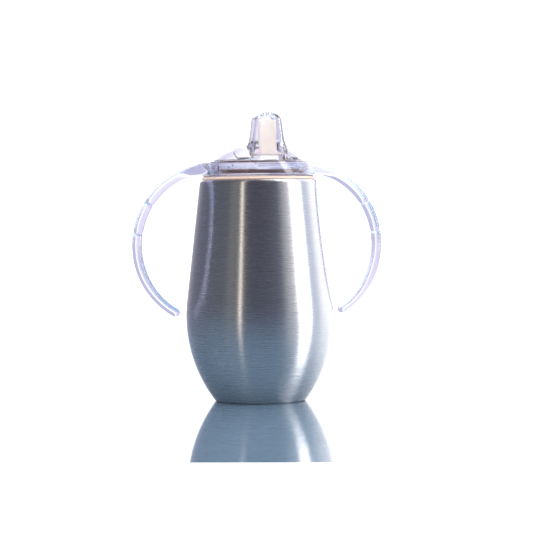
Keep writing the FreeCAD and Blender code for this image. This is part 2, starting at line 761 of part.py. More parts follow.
def check_and_export(parts):
    faults = [item.Name for item in doc.Objects if "Invalid" in item.State or "Error" in item.State]
    for part in parts:
        shape = part.Shape
        if shape.isNull() or not shape.isValid() or len(shape.Solids) != 1:
            faults.append(part.Label)
    if faults:
        sys.exit("not built: " + ", ".join(faults))
    os.makedirs("parts", exist_ok=True)
    for part in parts:
        part.Shape.exportStep(f"parts/{part.Label}.step")
        box = part.Shape.BoundBox
        print(f"{part.Label}: {part.Shape.Volume:.0f} mm3, z {box.ZMin:.2f} to {box.ZMax:.2f}")


pieces = [
    make_outer_shell(), make_inner_liner(), make_bottom_plate(), make_vacuum_seal_bead(),
    make_getter_capsule(), make_base_cover(), make_lid_gasket(), make_lid_body(),
    make_spout_valve(), make_handle_ring(),
]
doc.recompute()
check_and_export(pieces)
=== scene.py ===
import math
import bpy
import bmesh
from mathutils import Matrix, Quaternion, Vector


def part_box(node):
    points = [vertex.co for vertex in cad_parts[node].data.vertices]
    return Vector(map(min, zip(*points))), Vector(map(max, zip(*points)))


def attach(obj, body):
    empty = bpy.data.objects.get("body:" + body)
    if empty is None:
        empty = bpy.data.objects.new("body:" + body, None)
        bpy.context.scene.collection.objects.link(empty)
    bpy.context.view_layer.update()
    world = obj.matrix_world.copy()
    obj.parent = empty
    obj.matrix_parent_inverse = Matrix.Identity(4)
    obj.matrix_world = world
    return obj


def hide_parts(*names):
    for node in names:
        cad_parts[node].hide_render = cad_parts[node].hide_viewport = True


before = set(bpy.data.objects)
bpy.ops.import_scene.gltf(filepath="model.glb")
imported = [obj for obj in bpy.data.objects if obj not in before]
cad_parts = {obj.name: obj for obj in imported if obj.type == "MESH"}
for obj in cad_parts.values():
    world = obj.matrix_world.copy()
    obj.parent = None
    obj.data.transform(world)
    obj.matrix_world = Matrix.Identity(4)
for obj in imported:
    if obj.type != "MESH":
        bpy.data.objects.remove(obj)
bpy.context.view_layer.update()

scene = bpy.context.scene
zAxis = Vector((0, 0, 1))

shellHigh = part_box("outer_shell")[1]
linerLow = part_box("inner_liner")[0]
sealLow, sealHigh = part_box("lid_gasket")
lidLow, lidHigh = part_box("lid_body")
valveLow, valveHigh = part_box("spout_valve")
coverLow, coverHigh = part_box("base_cover")
rimHeight = shellHigh.z
front = -90                   # degrees, the heading of the spout
toolReach = 0.001             # how far a cutting form runs past the face it cuts


# ---- mesh tools

def roundedOutline(corners, segments=5):
    # corners are (radius, height, rounding) in order round a closed section
    points = []
    for index, (radius, height, rounding) in enumerate(corners):
        here = Vector((radius, 0, height))
        if rounding == 0:
            points.append(here)
            continue
        previous = corners[index - 1]
        following = corners[(index + 1) % len(corners)]
        back = (Vector((previous[0], 0, previous[1])) - here).normalized()
        ahead = (Vector((following[0], 0, following[1])) - here).normalized()
        half = back.angle(ahead) / 2
        centre = here + (back + ahead).normalized() * rounding / math.sin(half)
        start = here + back * rounding / math.tan(half) - centre
        turn = math.pi - 2 * half
        axis = back.cross(ahead) * -1
        for step in range(segments + 1):
            points.append(centre + Quaternion(axis, turn * step / segments) @ start)
    return points


def arcPoints(centre, radius, startAngle, endAngle, steps):
    # angles are above level, in radians, in the XZ plane
    points = []
    for step in range(steps + 1):
        angle = startAngle + (endAngle - startAngle) * step / steps
        points.append(centre + Vector((math.cos(angle), 0, math.sin(angle))) * radius)
    return points


def spunForm(points, steps, closed=True):
    # a closed section makes a ring, an open one runs from the axis back to the axis
    form = bmesh.new()
    verts = [form.verts.new(point) for point in points]
    edges = [form.edges.new(pair) for pair in zip(verts, verts[1:])]
    if closed:
        edges.append(form.edges.new((verts[-1], verts[0])))
    bmesh.ops.spin(form, geom=verts + edges, cent=(0, 0, 0), axis=zAxis, dvec=(0, 0, 0),
                   angle=2 * math.pi, steps=steps, use_merge=True, use_duplicate=False)
    bmesh.ops.remove_doubles(form, verts=form.verts, dist=1e-6)
    bmesh.ops.recalc_face_normals(form, faces=form.faces)
    return form


def cappedColumn(block, topHeight, spread=None):
    # upright rounded column whose top follows topHeight(x, y) and whose rim is rounded
    halfWidth, halfDepth = block["width"] / 2, block["depth"] / 2
    form = bmesh.new()
    bmesh.ops.create_grid(form, x_segments=1, y_segments=1, size=1)
    bmesh.ops.scale(form, vec=(halfWidth, halfDepth, 1), verts=form.verts)
    bmesh.ops.bevel(form, geom=form.verts[:], offset=block["corner"], offset_type="OFFSET", segments=7,
                    profile=0.5, affect="VERTICES", material=-1)
    longEdges = [edge for edge in form.edges if edge.calc_length() > block["corner"] / 2]
    bmesh.ops.subdivide_edges(form, edges=longEdges, cuts=block["cuts"])
    rim, rimSteps, capSteps = block["rim"], 4, 6
    insets = [rim * (1 - math.cos(math.pi / 2 * step / rimSteps)) for step in range(1, rimSteps + 1)]
    insets += [rim + (halfDepth - rim) * step / capSteps for step in range(1, capSteps + 1)]
    home = {vert: vert.co.copy() for vert in form.verts}
    border = [edge for edge in form.edges if edge.is_boundary]

    def lift(edges, place):
        made = bmesh.ops.extrude_edge_only(form, edges=edges)["geom"]
        fresh = {item for item in made if isinstance(item, bmesh.types.BMVert)}
        for vert in fresh:
            below = [edge.other_vert(vert) for edge in vert.link_edges if edge.other_vert(vert) not in fresh]
            home[vert] = home[below[0]]
            vert.co = place(home[vert])
        return [item for item in made if isinstance(item, bmesh.types.BMEdge)]

    def wallPlace(share):
        def place(flat):
            grown = Vector((flat.x, flat.y, 0))
            for _ in range(3):  # the section depends on the height, and the height on the section
                top = topHeight(grown.x, grown.y) - rim
                height = block["foot"] + (top - block["foot"]) * share
                across, along = spread(height) if spread else (1.0, 1.0)
                grown = Vector((flat.x * across, flat.y * along, height))
            return grown
        return place

    def capPlace(inset):
        wall = wallPlace(1.0)

        def place(flat):
            edge = wall(flat)
            x = edge.x * (1 - inset / halfWidth)
            y = edge.y * (1 - inset / halfDepth)
            drop = max(rim - inset, 0)
            rise = math.sqrt(rim ** 2 - drop ** 2)
            return Vector((x, y, topHeight(x, y) - rim + rise))
        return place

    for vert in form.verts:
        vert.co = wallPlace(0.0)(home[vert])
    for step in range(1, block["levels"] + 1):
        border = lift(border, wallPlace(step / block["levels"]))
    for inset in insets:
        border = lift(border, capPlace(inset))
    bmesh.ops.remove_doubles(form, verts=form.verts, dist=2e-6)
    bmesh.ops.translate(form, vec=(0, block["y"], 0), verts=form.verts)
    bmesh.ops.recalc_face_normals(form, faces=form.faces)
    return form


def roundBar(radius, start, end, segments=20):
    # plain drill or pin between two points, used as a tool only
    form = bmesh.new()
    axis = end - start
    turn = zAxis.rotation_difference(axis).to_matrix().to_4x4()
    bmesh.ops.create_cone(form, cap_ends=True, segments=segments, radius1=radius, radius2=radius,
                          depth=axis.length, matrix=Matrix.Translation((start + end) / 2) @ turn)
    return form


def sectorForm(inner, outer, foot, top, heading, span, rounding):
    # curved block about the axis, centred on a heading in degrees
    form = bmesh.new()
    corners = roundedOutline([(inner, foot, 0), (outer, foot, rounding), (outer, top, rounding),
                              (inner, top, 0)], 3)
    verts = [form.verts.new(point) for point in corners]
    face = form.faces.new(verts)
    first = math.radians(heading - span / 2)
    bmesh.ops.rotate(form, cent=(0, 0, 0), matrix=Matrix.Rotation(first, 3, "Z"), verts=form.verts)
    bmesh.ops.spin(form, geom=[face, *face.edges, *face.verts], cent=(0, 0, 0), axis=zAxis,
                   dvec=(0, 0, 0), angle=math.radians(span), steps=12, use_merge=False,
                   use_duplicate=False)
    bmesh.ops.recalc_face_normals(form, faces=form.faces)
    return form


def toObject(form, name):
    mesh = bpy.data.meshes.new(name)
    form.to_mesh(mesh)
    form.free()
    piece = bpy.data.objects.new(name, mesh)
    scene.collection.objects.link(piece)
    return piece


def carve(piece, operation, forms):
    # exact boolean with each form in turn, applied
    for form in forms:
        tool = toObject(form, "tool")
        change = piece.modifiers.new("carve", "BOOLEAN")
        change.operation = operation
        change.solver = "EXACT"
        change.object = tool
        bpy.context.view_layer.update()
        graph = bpy.context.evaluated_depsgraph_get()
        mesh = bpy.data.meshes.new_from_object(piece.evaluated_get(graph))
        piece.modifiers.clear()
        piece.data = mesh
        bpy.data.objects.remove(tool)


def cleanUp(piece):
    form = bmesh.new()
    form.from_mesh(piece.data)
    bmesh.ops.remove_doubles(form, verts=form.verts, dist=4e-6)
    bmesh.ops.dissolve_degenerate(form, edges=form.edges, dist=2e-6)
    bmesh.ops.triangulate(form, faces=[face for face in form.faces if len(face.verts) > 4])
    form.to_mesh(piece.data)
    form.free()


def finishPiece(piece, body, material, replaced, sharpAngle=40):
    piece.data.materials.clear()
    piece.data.materials.append(material)
    piece.data.name = piece.name
    piece.data.shade_smooth()
    piece.data.set_sharp_from_angle(angle=math.radians(sharpAngle))
    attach(piece, body)
    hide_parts(*replaced)
    print("made", piece.name, len(piece.data.polygons), "faces")


# ---- material tools

def newMaterial(name):
    material = bpy.data.materials.new(name)
    material.use_nodes = True
    tree = material.node_tree
    shader = tree.nodes["Principled BSDF"]
    return material, tree, shader


def addNode(tree, kind, inputs=None, **settings):
    node = tree.nodes.new(kind)
    for key, value in settings.items():
        setattr(node, key, value)
    for key, value in (inputs or {}).items():
        if isinstance(value, bpy.types.NodeSocket):
            tree.links.new(value, node.inputs[key])
        else:
            node.inputs[key].default_value = value
    return node


def objectPattern(tree, scale):
    # object coordinates stretched to a pattern's scale
    place = addNode(tree, "ShaderNodeTexCoord")
    return addNode(tree, "ShaderNodeMapping", {"Vector": place.outputs["Object"], "Scale": scale}).outputs[0]


def noiseOf(tree, scale, detail=2.0, size=1.0):
    return addNode(tree, "ShaderNodeTexNoise",
                   {"Vector": objectPattern(tree, scale), "Scale": size, "Detail": detail}).outputs["Fac"]


def spreadOf(tree, factor, low, high):
    # noise lies mostly between 0.3 and 0.7
    spread = {"Value": factor, "From Min": 0.3, "From Max": 0.7, "To Min": low, "To Max": high}
    return addNode(tree, "ShaderNodeMapRange", spread).outputs[0]


def blendOf(tree, factor, first, second):
    mix = addNode(tree, "ShaderNodeMix", data_type="RGBA")
    tree.links.new(factor, mix.inputs[0])
    mix.inputs[6].default_value = (*first, 1)
    mix.inputs[7].default_value = (*second, 1)
    return mix.outputs[2]


def bumpOf(tree, height, strength, distance):
    return addNode(tree, "ShaderNodeBump",
                   {"Height": height, "Strength": strength, "Distance": distance}).outputs[0]


def brushedSteel(name, tone, roughness, lines, anisotropy):
    # fine scratches run round the body, so highlights smear up and down
    material, tree, shader = newMaterial(name)
    fine = noiseOf(tree, (60, 60, lines), 3.0)
    broad = noiseOf(tree, (9, 9, lines / 14), 2.0)
    dark = tuple(part * 0.97 for part in tone)
    colour = blendOf(tree, spreadOf(tree, broad, 0.0, 1.0), dark, tone)
    tree.links.new(colour, shader.inputs["Base Color"])
    tree.links.new(spreadOf(tree, fine, roughness * 0.88, roughness * 1.14), shader.inputs["Roughness"])
    tree.links.new(bumpOf(tree, fine, 0.016, 0.00002), shader.inputs["Normal"])
    shader.inputs["Metallic"].default_value = 1.0
    if anisotropy:
        shader.inputs["Anisotropic"].default_value = anisotropy
        tangent = addNode(tree, "ShaderNodeTangent", direction_type="UV_MAP", uv_map="brushing")
        tree.links.new(tangent.outputs[0], shader.inputs["Tangent"])
    return material


def clearPlastic(name, tint, roughness):
    material, tree, shader = newMaterial(name)
    cloud = noiseOf(tree, (70, 70, 70), 2.0)
    ripple = noiseOf(tree, (160, 160, 110), 1.0)
    tinted = tuple(part * 0.975 for part in tint)
    tree.links.new(blendOf(tree, spreadOf(tree, cloud, 0.0, 1.0), tinted, tint), shader.inputs["Base Color"])
    tree.links.new(spreadOf(tree, cloud, roughness * 0.6, roughness * 1.5), shader.inputs["Roughness"])
    tree.links.new(bumpOf(tree, ripple, 0.12, 0.0002), shader.inputs["Normal"])
    shader.inputs["IOR"].default_value = 1.5
    shader.inputs["Transmission Weight"].default_value = 1.0
    return material


def milkySilicone(name, tone, shade, roughness, transmission):
    material, tree, shader = newMaterial(name)
    cloud = noiseOf(tree, (240, 240, 240), 3.0)
    grain = noiseOf(tree, (2600, 2600, 2600), 1.0)
    tree.links.new(blendOf(tree, spreadOf(tree, cloud, 0.0, 1.0), shade, tone), shader.inputs["Base Color"])
    tree.links.new(spreadOf(tree, cloud, roughness * 0.85, roughness * 1.15), shader.inputs["Roughness"])
    tree.links.new(bumpOf(tree, grain, 0.1, 0.00004), shader.inputs["Normal"])
    shader.inputs["IOR"].default_value = 1.41
    shader.inputs["Transmission Weight"].default_value = transmission
    shader.inputs["Subsurface Weight"].default_value = 0.3
    shader.inputs["Subsurface Scale"].default_value = 0.002
    return material


def dullMetal(name, tone, shade, roughness, grainScale):
    material, tree, shader = newMaterial(name)
    blotch = noiseOf(tree, (grainScale / 4,) * 3, 3.0)
    grain = noiseOf(tree, (grainScale,) * 3, 2.0)
    tree.links.new(blendOf(tree, spreadOf(tree, blotch, 0.0, 1.0), shade, tone), shader.inputs["Base Color"])
    tree.links.new(spreadOf(tree, grain, roughness * 0.8, roughness * 1.2), shader.inputs["Roughness"])
    tree.links.new(bumpOf(tree, grain, 0.3, 0.00005), shader.inputs["Normal"])
    shader.inputs["Metallic"].default_value = 1.0
    return material


# ---- camera

viewpoint = {
    "azimuth": -17.5,      # degrees, towards the left handle
    "distance": 1.075,
    "height": 0.098,
    "lens": 139.5,
    "aimHeight": 0.0697,
    "aimRight": 0.0038,
    "roll": -0.6,          # degrees
}


def makeCamera():
    turn = math.radians(viewpoint["azimuth"])
    right = Vector((math.cos(turn), math.sin(turn), 0))
    camera = bpy.data.objects.new("camera", bpy.data.cameras.new("camera"))
    camera.data.lens = viewpoint["lens"]
    camera.location = Vector((math.sin(turn), -math.cos(turn), 0)) * viewpoint["distance"]
    camera.location.z = viewpoint["height"]
    aim = right * viewpoint["aimRight"] + zAxis * viewpoint["aimHeight"]
    look = (aim - camera.location).to_track_quat("-Z", "Y")
    camera.rotation_mode = "QUATERNION"
    camera.rotation_quaternion = look @ Quaternion(zAxis, math.radians(viewpoint["roll"]))
    camera.data.clip_end = 50
    scene.collection.objects.link(camera)
    scene.camera = camera


makeCamera()
print("camera set")


# ---- steel tumbler

tumbler = {
    "bellyHeight": 0.0442,
    "bellyArc": 0.0726,
    "rimWidth": 0.0028,
    "rimRound": 0.0022,
    "footRound": 0.0015,
    "footLand": 0.0024,
    "wall": 0.0006,
    "gap": 0.0026,
    "mouth": 0.0272,
    "land": 0.013,
    "lipShare": 0.45,         # rounding of the mouth's inner edge, as a share of the wall
    "floorRound": 0.008,
    "steps": 180,
}
bellyRadius = shellHigh.x
arcCentre = Vector((bellyRadius - tumbler["bellyArc"], 0, tumbler["bellyHeight"]))
rimRadius = tumbler["mouth"] + tumbler["wall"] + tumbler["rimWidth"]


def slopeTo(point, arc):
    # angle from upright of the line from a point that touches the belly arc
    away = point - arcCentre
    return math.atan2(away.z, away.x) - math.acos(arc / math.hypot(away.x, away.z))


def footCentre(arc, rounding, floor):
    height = floor + rounding
    across = math.sqrt((arc - rounding) ** 2 - (arcCentre.z - height) ** 2)
    return Vector((arcCentre.x + across, 0, height))


def bellySide(arc, slope, foot, rounding):
    # belly arc from the straight wall down to the rounding, then the rounding to the floor
    away = foot - arcCentre
    low = math.atan2(away.z, away.x)
    return (arcPoints(arcCentre, arc, slope, low, 44)
            + arcPoints(foot, rounding, low, -math.pi / 2, 8)[1:])


def straightWall(top, bottom, steps=24):
    return [top.lerp(bottom, step / steps) for step in range(steps + 1)]


def addBrushingMap(mesh):
    # u runs up the wall and v round it, so the shader knows which way the scratches lie
    layer = mesh.uv_layers.new(name="brushing")
    for polygon in mesh.polygons:
        centreAngle = math.atan2(polygon.center.y, polygon.center.x)
        for loop in polygon.loop_indices:
            place = mesh.vertices[mesh.loops[loop].vertex_index].co
            angle = math.atan2(place.y, place.x)
            if angle - centreAngle > math.pi:
                angle -= 2 * math.pi
            if centreAngle - angle > math.pi:
                angle += 2 * math.pi
            radius = math.hypot(place.x, place.y)
            layer.data[loop].uv = (place.z * 8 - radius * 3, angle / (2 * math.pi))


def makeCupShell():
    wall, arc = tumbler["wall"], tumbler["bellyArc"]
    rimPoint = Vector((rimRadius, 0, rimHeight))
    slope = slopeTo(rimPoint, arc)
    roundSpot = Vector((rimRadius + tumbler["rimRound"] * (math.tan(slope) - 1 / math.cos(slope)), 0,
                        rimHeight - tumbler["rimRound"]))
    foot = footCentre(arc, tumbler["footRound"], 0)
    outside = arcPoints(roundSpot, tumbler["rimRound"], math.pi / 2, slope, 10)
    touch = arcCentre + Vector((math.cos(slope), 0, math.sin(slope))) * arc
    outside += straightWall(outside[-1], touch)[1:-1]
    outside += bellySide(arc, slope, foot, tumbler["footRound"])
    inside = arcPoints(roundSpot, tumbler["rimRound"] - wall, math.pi / 2, slope, 10)
    innerTouch = arcCentre + Vector((math.cos(slope), 0, math.sin(slope))) * (arc - wall)
    inside += straightWall(inside[-1], innerTouch)[1:-1]
    inside += bellySide(arc - wall, slope, foot, tumbler["footRound"] - wall)
    lip = tumbler["mouth"] + wall
    landEdge = foot.x - tumbler["footLand"]
    points = [Vector((lip, 0, rimHeight)), *outside, Vector((landEdge, 0, 0)), Vector((landEdge, 0, wall))]
    points += list(reversed(inside)) + [Vector((lip, 0, rimHeight - wall))]
    piece = toObject(spunForm(points, tumbler["steps"]), "cupShell")
    addBrushingMap(piece.data)
    material = brushedSteel("brushedShell", (0.66, 0.655, 0.68), 0.27, 5200, 0.97)
    finishPiece(piece, "cup", material, ["outer_shell"])


def makeCupLiner():
    wall = tumbler["wall"]
    arc = tumbler["bellyArc"] - wall - tumbler["gap"]
    outer = tumbler["mouth"] + wall
    landFoot = Vector((outer, 0, rimHeight - tumbler["land"]))
    slope = slopeTo(landFoot, arc)
    floor = linerLow.z
    foot = footCentre(arc, tumbler["floorRound"], floor)
    direction = Vector((math.cos(slope), 0, math.sin(slope)))
    innerLand = Vector((tumbler["mouth"], 0, landFoot.z - wall * math.tan(slope / 2)))
    outside = straightWall(landFoot, arcCentre + direction * arc)[:-1]
    outside += bellySide(arc, slope, foot, tumbler["floorRound"])
    inside = straightWall(innerLand, arcCentre + direction * (arc - wall))[:-1]
    inside += bellySide(arc - wall, slope, foot, tumbler["floorRound"] - wall)
    lip = wall * tumbler["lipShare"]
    mouth = tumbler["mouth"]
    topEdge = [Vector((mouth, 0, rimHeight - lip)), Vector((mouth + lip * 0.3, 0, rimHeight - lip * 0.3)),
               Vector((mouth + lip, 0, rimHeight)), Vector((outer, 0, rimHeight))]
    points = [Vector((0, 0, floor + wall)), *reversed(inside), *topEdge, *outside, Vector((0, 0, floor))]
    piece = toObject(spunForm(points, tumbler["steps"], closed=False), "cupLiner")
    addBrushingMap(piece.data)
    material = brushedSteel("linerSteel", (0.7, 0.69, 0.68), 0.3, 2600, 0.4)
    finishPiece(piece, "cup", material, ["inner_liner"])


baseDisc = {
    "edgeRound": 0.0002,
    "ridges": 3,
    "ridgeDepth": 0.00012,
    "ridgeReach": 0.94,       # share of the radius
    "points": 60,
    "steps": 120,
}


def makeBaseDisc():
    # pressed disc with shallow rings, seen from below
    radius, low, high = coverHigh.x, coverLow.z, coverHigh.z
    under = []
    count = baseDisc["points"]
    for step in range(count + 1):
        across = radius * baseDisc["ridgeReach"] * step / count
        wave = 0.5 - 0.5 * math.cos(2 * math.pi * baseDisc["ridges"] * step / count)
        under.append(Vector((across, 0, low + baseDisc["ridgeDepth"] * wave)))
    edge = baseDisc["edgeRound"]
    rim = arcPoints(Vector((radius - edge, 0, low + edge)), edge, -math.pi / 2, 0, 4)
    rim += arcPoints(Vector((radius - edge, 0, high - edge)), edge, 0, math.pi / 2, 4)
    section = [*under, *rim, Vector((0, 0, high))]
    piece = toObject(spunForm(section, baseDisc["steps"], closed=False), "baseDisc")
    material = dullMetal("spunBase", (0.6, 0.6, 0.62), (0.5, 0.5, 0.53), 0.32, 900)
    finishPiece(piece, "cup", material, ["base_cover"])


makeCupShell()
makeCupLiner()
makeBaseDisc()

hiddenMetals = {              # node: material name, tone, shade, roughness, grain
    "bottom_plate": ("plateSteel", (0.55, 0.55, 0.57), (0.47, 0.47, 0.5), 0.35, 700),
    "vacuum_seal_bead": ("solderBead", (0.45, 0.45, 0.47), (0.33, 0.33, 0.35), 0.5, 1500),
    "getter_capsule": ("getterMetal", (0.36, 0.36, 0.38), (0.25, 0.25, 0.27), 0.6, 3000),
}
for nodeName, finish in hiddenMetals.items():
    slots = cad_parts[nodeName].data.materials
    slots.clear()
    slots.append(dullMetal(*finish))
print("steel done")


# ---- silicone seal

seal = {
    "sleeve": 0.00208,
    "ribDepth": 0.0006,
    "ribHeight": 0.0014,
    "ribPitch": 0.0036,
    "gap": 0.00012,
    "round": 0.0003,
    "steps": 160,
}
bossRadius = tumbler["mouth"] - seal["gap"] - seal["ribDepth"] - seal["sleeve"]


def makeSealRing():
    sleeve = bossRadius + seal["sleeve"]
    rib = sleeve + seal["ribDepth"]
    low, top = sealLow.z, sealHigh.z
    edge = sealHigh.x
    soft = seal["round"]
    corners = [(bossRadius, top, 0), (bossRadius, low, soft), (sleeve, low, soft)]
    for index in range(2):
        foot = low + seal["ribPitch"] * (index + 0.5)
        corners += [(sleeve, foot, soft / 2), (rib, foot + seal["ribHeight"] / 2, soft / 2),
                    (sleeve, foot + seal["ribHeight"], soft / 2)]
    corners += [(sleeve, rimHeight, soft), (edge, rimHeight, soft), (edge, top, soft)]
    piece = toObject(spunForm(roundedOutline(corners, 4), seal["steps"]), "sealRing")
    material = milkySilicone("sealSilicone", (0.86, 0.66, 0.56), (0.8, 0.58, 0.48), 0.4, 0.1)
    finishPiece(piece, "lid", material, ["lid_gasket"])


makeSealRing()


# ---- clear lid

lid = {
    "wall": 0.002,
    "hookHeight": 0.001,
    "hookReach": 0.0012,
    "flangeInset": 0.0016,
    "flangeHeight": 0.0008,
    "ringGap": 0.00015,
    "ringHeight": 0.0072,
    "shelf": 0.0021,
    "domeLedge": 0.0013,
    "domeStep": 0.0006,
    "domeArc": 0.0333,
    "domeWall": 0.0018,
    "edgeRound": 0.00035,
    "lugs": 4,
    "lugSpan": 37.0,
    "lugHeight": 0.0022,
    "lugGap": 0.0003,
    "lugRound": 0.0003,
    "ventRadius": 0.0006,
    "ventDrill": 0.02,        # length of the drill, clear of the dome at its top
    "steps": 160,
}
deck = {"width": 0.033, "depth": 0.0175, "corner": 0.004, "rise": 0.0007, "round": 0.0005}
spout = {
    "forward": 0.015,
    "sink": 0.0025,
    "rootWidth": 0.0198,
    "rootDepth": 0.0148,
    "tipWidth": 0.0136,
    "tipDepth": 0.0106,
    "corner": 0.0042,
    "wall": 0.0015,
    "crownArc": 0.0094,
    "rim": 0.0011,
    "leastRim": 0.0004,
    "flare": 0.0011,          # how far the foot sweeps out where it meets the deck
    "flareHeight": 0.0016,
    "holes": 5,
    "holeStep": 18.5,
    "holeRadius": 0.0007,
}
ring = {
    "inset": 0.0004,
    "topWidth": 0.0015,
    "boreGap": 0.0003,
    "wall": 0.0016,
    "lip": 0.0015,
    "edgeRound": 0.0006,
    "innerRound": 0.0003,
    "notchRound": 0.0002,
    "notchPlay": 3.0,         # degrees
    "steps": 160,
}

flangeTop = sealHigh.z + lid["flangeHeight"]
ringFoot = flangeTop + lid["ringGap"]
ringTop = ringFoot + lid["ringHeight"]
bossTop = ringTop + lid["ringGap"]
shelfTop = ringFoot + lid["shelf"]
ringBore = bossRadius + ring["boreGap"]
ringFootRadius = rimRadius - ring["inset"]
ringTopRadius = ringBore + ring["topWidth"]
coneRun = (ringFootRadius - ringTopRadius) / lid["ringHeight"]
domeRadius = bossRadius - lid["domeLedge"]
domeFoot = bossTop + lid["domeStep"]
domeCentre = Vector((0, 0, domeFoot - math.sqrt(lid["domeArc"] ** 2 - domeRadius ** 2)))
spoutRoot = bossTop - spout["sink"]
crownTop = lidHigh.z


def ringInside(height):
    return ringFootRadius - coneRun * (height - ringFoot) - ring["wall"]


lugFoot = shelfTop + lid["ringGap"]
lugRadius = ringInside(lugFoot + lid["lugHeight"]) - lid["lugGap"]


def domeArc(radius, reach):
    # points over the dome from the axis out to a reach
    angle = math.acos(reach / radius)
    return arcPoints(domeCentre, radius, math.pi / 2, angle, 40)


def lidOutside():
    plugLow = lidLow.z
    soft = lid["edgeRound"]
    hook = bossRadius + lid["hookReach"]
    edge = rimRadius - lid["flangeInset"]
    low = plugLow + lid["hookHeight"]
    corners = [(domeRadius, domeFoot, 0), (domeRadius, bossTop, soft), (bossRadius, bossTop, soft),
               (bossRadius, flangeTop, soft), (edge, flangeTop, soft), (edge, sealHigh.z, soft),
               (bossRadius, sealHigh.z, 0), (bossRadius, low, 0), (hook, low, soft),
               (hook, plugLow, soft), (0, plugLow, 0)]
    outline = roundedOutline(corners, 4)
    # the dome's arc already ends on the first corner
    return spunForm(domeArc(lid["domeArc"], domeRadius) + outline[1:], lid["steps"], closed=False)


def lidHollow():
    inside = bossRadius - lid["wall"]
    low = lidLow.z - 2 * toolReach
    points = domeArc(lid["domeArc"] - lid["domeWall"], inside)
    points += [Vector((inside, 0, low)), Vector((0, 0, low))]
    return spunForm(points, lid["steps"], closed=False)


def deckForms():
    radius = lid["domeArc"] + deck["rise"]
    block = {"width": deck["width"], "depth": deck["depth"], "corner": deck["corner"], "cuts": 12,
             "rim": deck["round"], "levels": 6, "foot": bossTop - toolReach, "y": -spout["forward"]}

    def overDome(x, y):
        away = min(math.hypot(x, y - spout["forward"]), radius * 0.95)  # short of the sphere's own edge
        return domeCentre.z + math.sqrt(radius ** 2 - away ** 2)

    low, high = bossTop - 2 * toolReach, domeCentre.z + radius
    keep = [Vector((0, 0, low)), Vector((domeRadius, 0, low)),
            Vector((domeRadius, 0, high)), Vector((0, 0, high))]
    return cappedColumn(block, overDome), spunForm(keep, lid["steps"], closed=False)


def spoutSize(height):
    # outer width and depth of the tapered spout at a height
    share = (height - spoutRoot) / (crownTop - spoutRoot)
    return (spout["rootWidth"] + (spout["tipWidth"] - spout["rootWidth"]) * share,
            spout["rootDepth"] + (spout["tipDepth"] - spout["rootDepth"]) * share)


def spoutForm(wall):
    arc = spout["crownArc"] - wall
    crownCentre = crownTop - spout["crownArc"]
    width, depth = spout["rootWidth"] - 2 * wall, spout["rootDepth"] - 2 * wall
    deckHeight = domeCentre.z + math.sqrt((lid["domeArc"] + deck["rise"]) ** 2 - spout["forward"] ** 2)
    block = {"width": width, "depth": depth, "corner": spout["corner"] - wall / 2, "cuts": 12,
             "rim": max(spout["rim"] - wall / 2, spout["leastRim"]), "levels": 36, "foot": spoutRoot - wall,
             "y": -spout["forward"]}

    def crown(x, y):
        # an arc across the spout, held level before it turns too steep
        return crownCentre + math.sqrt(max(arc ** 2 - x ** 2, (arc * 0.3) ** 2))

    def spread(height):
        across, along = spoutSize(height)
        flare = 0
        if wall == 0:
            flare = spout["flare"] * math.exp(-max(height - deckHeight, 0) / spout["flareHeight"])
        return (across - 2 * wall + 2 * flare) / width, (along - 2 * wall + 2 * flare) / depth

    return cappedColumn(block, crown, spread)


def drinkHoles():
    centre = Vector((0, -spout["forward"], crownTop - spout["crownArc"]))
    drills = []
    for index in range(spout["holes"]):
        lean = math.radians(spout["holeStep"] * (index - (spout["holes"] - 1) / 2))
        out = Vector((math.sin(lean), 0, math.cos(lean)))
        inner = centre + out * (spout["crownArc"] - 2 * spout["wall"])
        outer = centre + out * (spout["crownArc"] + spout["wall"])
        drills.append(roundBar(spout["holeRadius"], inner, outer))
    return drills


def makeLidShell():
    piece = toObject(lidOutside(), "lidShell")
    panel, cap = deckForms()
    deckPiece = toObject(panel, "deckPanel")
    carve(deckPiece, "INTERSECT", [cap])
    deckMesh = bmesh.new()
    deckMesh.from_mesh(deckPiece.data)
    bpy.data.objects.remove(deckPiece)
    lugForms = []
    for index in range(lid["lugs"]):
        heading = front + 360 / lid["lugs"] * index
        lugForms.append(sectorForm(bossRadius - lid["wall"] / 2, lugRadius, lugFoot,
                                   lugFoot + lid["lugHeight"], heading, lid["lugSpan"], lid["lugRound"]))
    carve(piece, "UNION", [deckMesh, spoutForm(0), *lugForms])
    vent = Vector((0, domeRadius / 2, bossTop))
    carve(piece, "DIFFERENCE", [lidHollow(), spoutForm(spout["wall"]), *drinkHoles(),
                                roundBar(lid["ventRadius"], vent, vent + zAxis * lid["ventDrill"])])
    cleanUp(piece)
    material = clearPlastic("clearLid", (0.975, 0.97, 0.995), 0.02)
    finishPiece(piece, "lid", material, ["lid_body"], 25)


makeLidShell()


# ---- milky spout valve

valve = {
    "clear": 0.0004,
    "corner": 0.0028,
    "wall": 0.001,
    "flange": 0.0012,
    "gap": 0.00025,
    "rim": 0.0005,
    "soft": 0.0003,           # rounding of the flange's and the bore's edges
    "slitWidth": 0.0003,
    "slitLength": 0.005,
}


